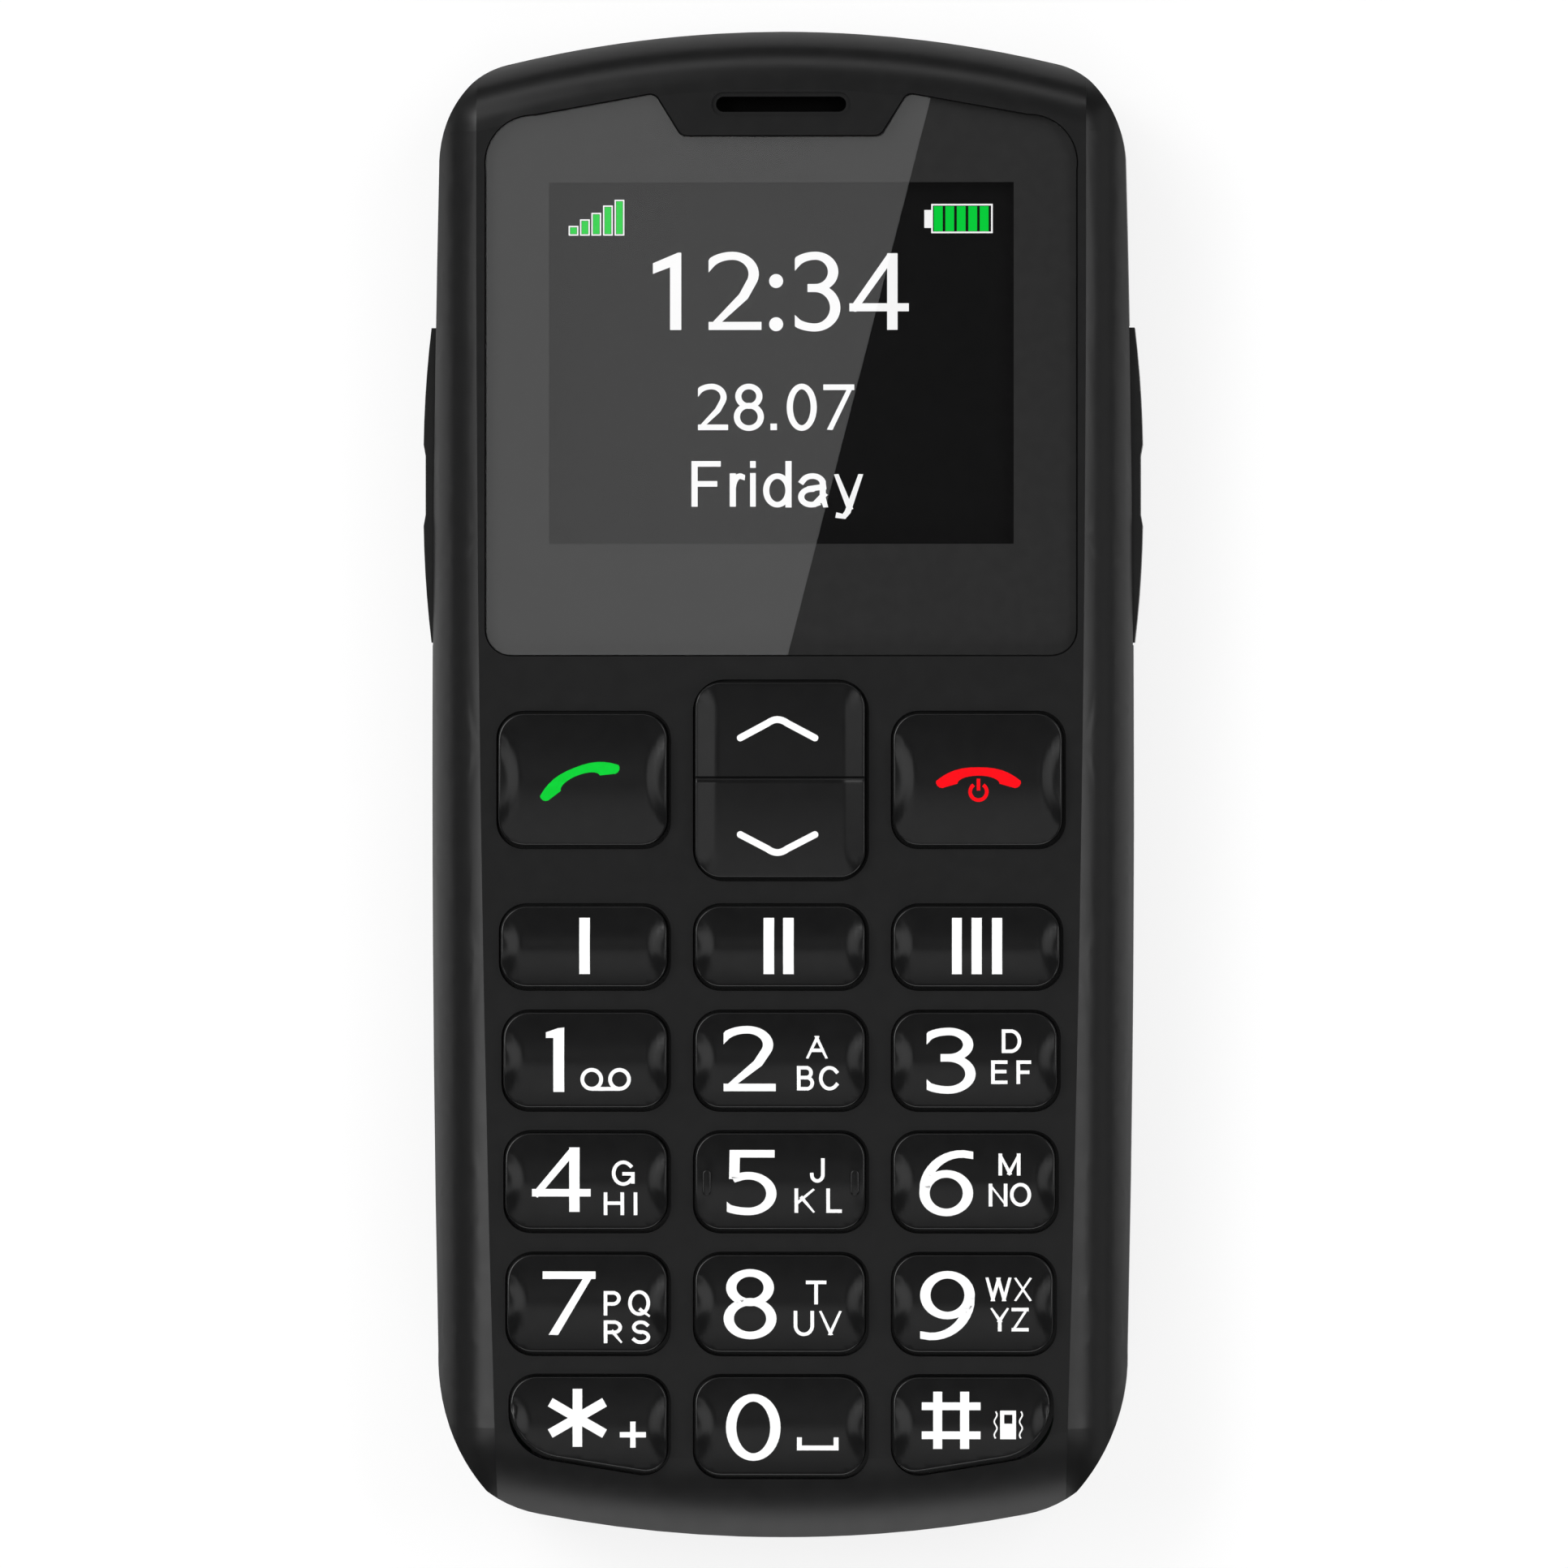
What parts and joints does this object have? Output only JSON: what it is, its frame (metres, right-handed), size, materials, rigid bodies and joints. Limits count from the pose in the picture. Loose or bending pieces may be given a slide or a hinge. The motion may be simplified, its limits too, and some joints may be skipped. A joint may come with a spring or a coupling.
{
  "type": "feature phone",
  "caption": "Bar phone with a small colour screen, large separate keys, side keys and a lift-off battery cover.",
  "frame": {"origin": "middle of the flat back, the phone lying on its back", "axes": "+Z out of the screen, +Y to the earpiece, +X to the right seen from the front"},
  "size_m": [0.0564, 0.118, 0.014],
  "materials": {
    "housing": "fine moulded satin black",
    "cover": "fine moulded satin black",
    "key": "smooth satin black with printed legends",
    "side_key": "smooth satin black",
    "lens": "polished clear",
    "clear": "polished clear",
    "mask": "even printed dark grey",
    "display": "dark display glass",
    "white_plastic": "plain moulded",
    "steel": "plain pressed sheet",
    "screw_steel": "dark plated",
    "foam": "soft foam",
    "film_amber": "flexible circuit film",
    "connector_black": "moulded black",
    "mesh": "fine woven black",
    "rubber_grey": "silicone",
    "dome_film": "white film over metal domes",
    "board": "green coated board",
    "battery_case": "dark film wrap",
    "gold": "gold plated",
    "card": "white card",
    "lamp_white": "small lamp"
  },
  "bodies": {
    "housing": {"front_housing": "housing", "rear_housing": "housing", "display_lens": "lens", "lens_mask": "mask", "display_glass": "display", "display_backlight": "white_plastic", "display_bezel": "steel", "display_foam": "foam", "display_ribbon": "film_amber", "display_connector": "connector_black", "earpiece_mesh": "mesh", "earpiece_receiver": "connector_black", "keypad_mat": "rubber_grey", "dome_sheet": "dome_film", "main_board": "board", "shield_can": "steel", "side_switches_left": "steel", "side_switches_right": "steel", "battery_contacts": "connector_black", "sim_socket": "steel", "sim_card": "card", "usb_connector": "steel", "microphone": "steel", "loudspeaker": "connector_black", "vibration_motor": "steel", "torch_lens": "clear", "torch_lamp": "lamp_white", "antenna": "film_amber", "housing_screws": "screw_steel"},
    "cover": {"battery_cover": "cover", "speaker_cloth": "mesh"},
    "battery_pack": {"battery": "battery_case", "battery_terminals": "gold"},
    "side_key_left": {"side_key_left": "side_key"},
    "side_key_right": {"side_key_right": "side_key"},
    "key_nav": {"key_nav": "key"},
    "key_call": {"key_call": "key"},
    "key_end": {"key_end": "key"},
    "key_memory_1": {"key_memory_1": "key"},
    "key_memory_2": {"key_memory_2": "key"},
    "key_memory_3": {"key_memory_3": "key"},
    "key_1": {"key_1": "key"},
    "key_2": {"key_2": "key"},
    "key_3": {"key_3": "key"},
    "key_4": {"key_4": "key"},
    "key_5": {"key_5": "key"},
    "key_6": {"key_6": "key"},
    "key_7": {"key_7": "key"},
    "key_8": {"key_8": "key"},
    "key_9": {"key_9": "key"},
    "key_star": {"key_star": "key"},
    "key_0": {"key_0": "key"},
    "key_hash": {"key_hash": "key"}
  },
  "joints": [
    {"name": "key_call_press", "type": "slide", "parent": "housing", "child": "key_call", "axis": [0, 0, -1], "range_m": [0, 0.00035], "stiffness_N_per_m": 400},
    {"name": "key_end_press", "type": "slide", "parent": "housing", "child": "key_end", "axis": [0, 0, -1], "range_m": [0, 0.00035], "stiffness_N_per_m": 400},
    {"name": "key_memory_1_press", "type": "slide", "parent": "housing", "child": "key_memory_1", "axis": [0, 0, -1], "range_m": [0, 0.00035], "stiffness_N_per_m": 400},
    {"name": "key_memory_2_press", "type": "slide", "parent": "housing", "child": "key_memory_2", "axis": [0, 0, -1], "range_m": [0, 0.00035], "stiffness_N_per_m": 400},
    {"name": "key_memory_3_press", "type": "slide", "parent": "housing", "child": "key_memory_3", "axis": [0, 0, -1], "range_m": [0, 0.00035], "stiffness_N_per_m": 400},
    {"name": "key_1_press", "type": "slide", "parent": "housing", "child": "key_1", "axis": [0, 0, -1], "range_m": [0, 0.00035], "stiffness_N_per_m": 400},
    {"name": "key_2_press", "type": "slide", "parent": "housing", "child": "key_2", "axis": [0, 0, -1], "range_m": [0, 0.00035], "stiffness_N_per_m": 400},
    {"name": "key_3_press", "type": "slide", "parent": "housing", "child": "key_3", "axis": [0, 0, -1], "range_m": [0, 0.00035], "stiffness_N_per_m": 400},
    {"name": "key_4_press", "type": "slide", "parent": "housing", "child": "key_4", "axis": [0, 0, -1], "range_m": [0, 0.00035], "stiffness_N_per_m": 400},
    {"name": "key_5_press", "type": "slide", "parent": "housing", "child": "key_5", "axis": [0, 0, -1], "range_m": [0, 0.00035], "stiffness_N_per_m": 400},
    {"name": "key_6_press", "type": "slide", "parent": "housing", "child": "key_6", "axis": [0, 0, -1], "range_m": [0, 0.00035], "stiffness_N_per_m": 400},
    {"name": "key_7_press", "type": "slide", "parent": "housing", "child": "key_7", "axis": [0, 0, -1], "range_m": [0, 0.00035], "stiffness_N_per_m": 400},
    {"name": "key_8_press", "type": "slide", "parent": "housing", "child": "key_8", "axis": [0, 0, -1], "range_m": [0, 0.00035], "stiffness_N_per_m": 400},
    {"name": "key_9_press", "type": "slide", "parent": "housing", "child": "key_9", "axis": [0, 0, -1], "range_m": [0, 0.00035], "stiffness_N_per_m": 400},
    {"name": "key_star_press", "type": "slide", "parent": "housing", "child": "key_star", "axis": [0, 0, -1], "range_m": [0, 0.00035], "stiffness_N_per_m": 400},
    {"name": "key_0_press", "type": "slide", "parent": "housing", "child": "key_0", "axis": [0, 0, -1], "range_m": [0, 0.00035], "stiffness_N_per_m": 400},
    {"name": "key_hash_press", "type": "slide", "parent": "housing", "child": "key_hash", "axis": [0, 0, -1], "range_m": [0, 0.00035], "stiffness_N_per_m": 400},
    {"name": "key_nav_tilt", "type": "hinge", "parent": "housing", "child": "key_nav", "pos_m": [0, 0.00034, 0.0108], "axis": [1, 0, 0], "range_deg": [-2.2, 2.2], "stiffness_Nm_per_rad": 0.02},
    {"name": "side_key_left_tilt", "type": "hinge", "parent": "housing", "child": "side_key_left", "pos_m": [-0.0251, 0.02345, 0.007], "axis": [0, 0, 1], "range_deg": [-1.2, 1.2], "stiffness_Nm_per_rad": 0.05},
    {"name": "side_key_right_tilt", "type": "hinge", "parent": "housing", "child": "side_key_right", "pos_m": [0.0251, 0.02345, 0.007], "axis": [0, 0, 1], "range_deg": [-1.2, 1.2], "stiffness_Nm_per_rad": 0.05},
    {"name": "cover_lift", "type": "slide", "parent": "housing", "child": "cover", "axis": [0, 0, -1], "range_m": [0, 0.045]},
    {"name": "battery_lift", "type": "slide", "parent": "housing", "child": "battery_pack", "axis": [0, 0, -1], "range_m": [0, 0.018]}
  ],
  "couplings": [
    {"joint": "battery_lift", "follows": "cover_lift", "ratio": 0.4}
  ]
}
